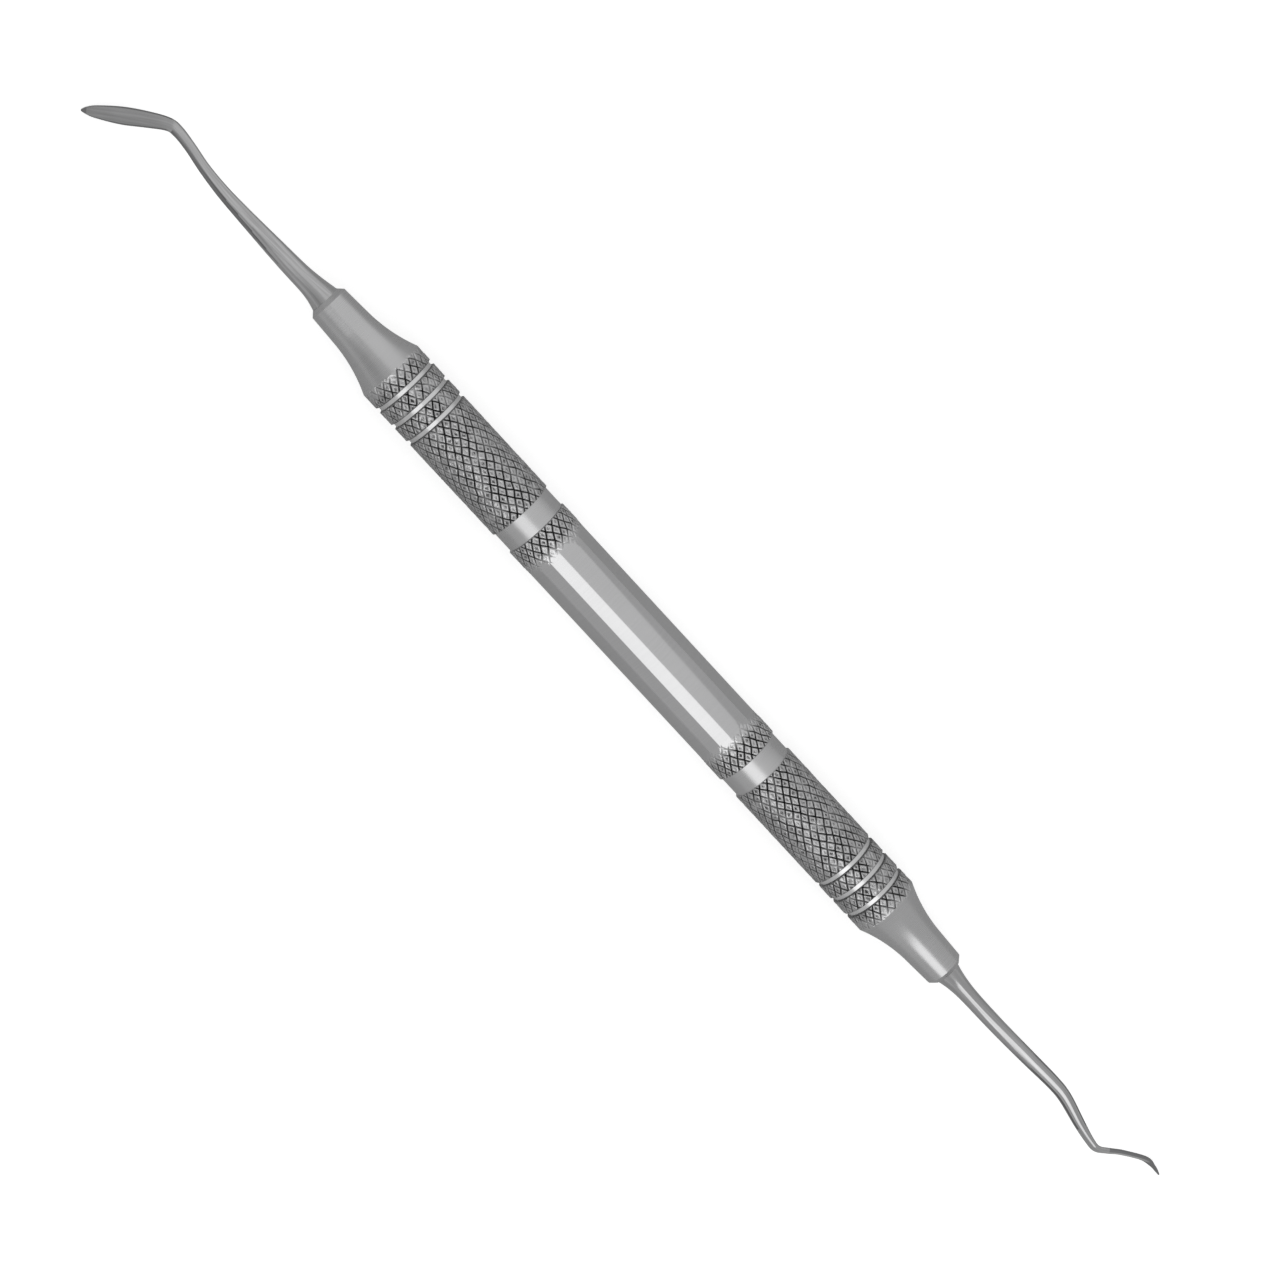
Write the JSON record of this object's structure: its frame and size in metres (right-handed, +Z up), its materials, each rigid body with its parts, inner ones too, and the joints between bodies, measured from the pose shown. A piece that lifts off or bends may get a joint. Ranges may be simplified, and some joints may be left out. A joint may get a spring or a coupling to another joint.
{
  "type": "double-ended dental hand scaler",
  "caption": "Slim steel dental hand instrument: smooth barrel between knurled grips with turned grooves, and a bent shank with a thin pointed blade at each end.",
  "frame": {"origin": "middle of the smooth barrel, on the handle's axis", "axes": "+X along the handle, towards the end whose blade stands on edge; +Z up, away from the table that the instrument lies on; +Y to the side that this blade's tip leans to"},
  "size_m": [0.1715, 0.0095, 0.008],
  "materials": {
    "polished_steel": "polished",
    "knurled_steel": "satin",
    "blade_steel": "satin"
  },
  "bodies": {
    "root": {"barrel": "polished_steel", "left_grip": "knurled_steel", "right_grip": "knurled_steel", "left_working_end": "blade_steel", "right_working_end": "blade_steel"}
  },
  "joints": []
}
